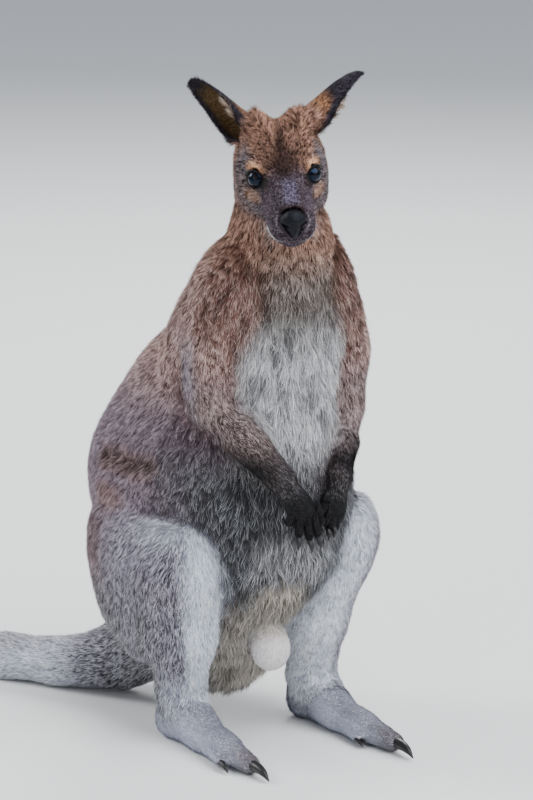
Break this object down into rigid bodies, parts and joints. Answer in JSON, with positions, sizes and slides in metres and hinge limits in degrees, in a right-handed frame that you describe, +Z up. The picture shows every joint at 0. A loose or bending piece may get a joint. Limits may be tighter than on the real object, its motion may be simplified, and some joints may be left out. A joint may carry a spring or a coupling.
{
  "type": "wallaby",
  "caption": "Life-size standing red-necked wallaby, resting on its long hind feet and tail, paws together at the belly, head turned to its right.",
  "frame": {"origin": "middle of the whole animal's bounding box, on the floor it stands on", "axes": "+Z up, +X towards the animal's left side, +Y from its chest towards its tail"},
  "size_m": [0.3668, 0.9978, 0.714],
  "materials": {
    "grizzled_coat": "soft grizzled fur, grey-brown with pale tips",
    "rufous_coat": "short rufous fur",
    "pale_coat": "short pale grey fur",
    "dark_coat": "dark brown fur",
    "black_coat": "short black fur",
    "nose_leather": "bare black skin, finely pebbled, slightly damp",
    "claw_horn": "polished dark horn",
    "wet_eye": "wet and glossy, near black"
  },
  "bodies": {
    "root": {"claw_1_left": "claw_horn", "claw_1_right": "claw_horn", "claw_2_left": "claw_horn", "claw_2_right": "claw_horn", "claw_3_left": "claw_horn", "claw_3_right": "claw_horn", "claw_4_left": "claw_horn", "claw_4_right": "claw_horn", "claw_5_left": "claw_horn", "claw_5_right": "claw_horn", "ear_left": "rufous_coat", "ear_right": "rufous_coat", "eye_left": "wet_eye", "eye_right": "wet_eye", "foot_left": "pale_coat", "foot_right": "pale_coat", "forearm_left": "grizzled_coat", "forearm_right": "grizzled_coat", "hand_left": "black_coat", "hand_right": "black_coat", "head": "rufous_coat", "neck": "rufous_coat", "nose": "nose_leather", "scrotum": "pale_coat", "shank_left": "pale_coat", "shank_right": "pale_coat", "tail_base": "grizzled_coat", "tail_middle": "grizzled_coat", "tail_tip": "dark_coat", "thigh_left": "grizzled_coat", "thigh_right": "grizzled_coat", "toe_claw_inner_a_left": "claw_horn", "toe_claw_inner_a_right": "claw_horn", "toe_claw_inner_b_left": "claw_horn", "toe_claw_inner_b_right": "claw_horn", "toe_claw_long_left": "claw_horn", "toe_claw_long_right": "claw_horn", "toe_claw_outer_left": "claw_horn", "toe_claw_outer_right": "claw_horn", "torso": "grizzled_coat", "upper_arm_left": "grizzled_coat", "upper_arm_right": "grizzled_coat"}
  },
  "joints": []
}
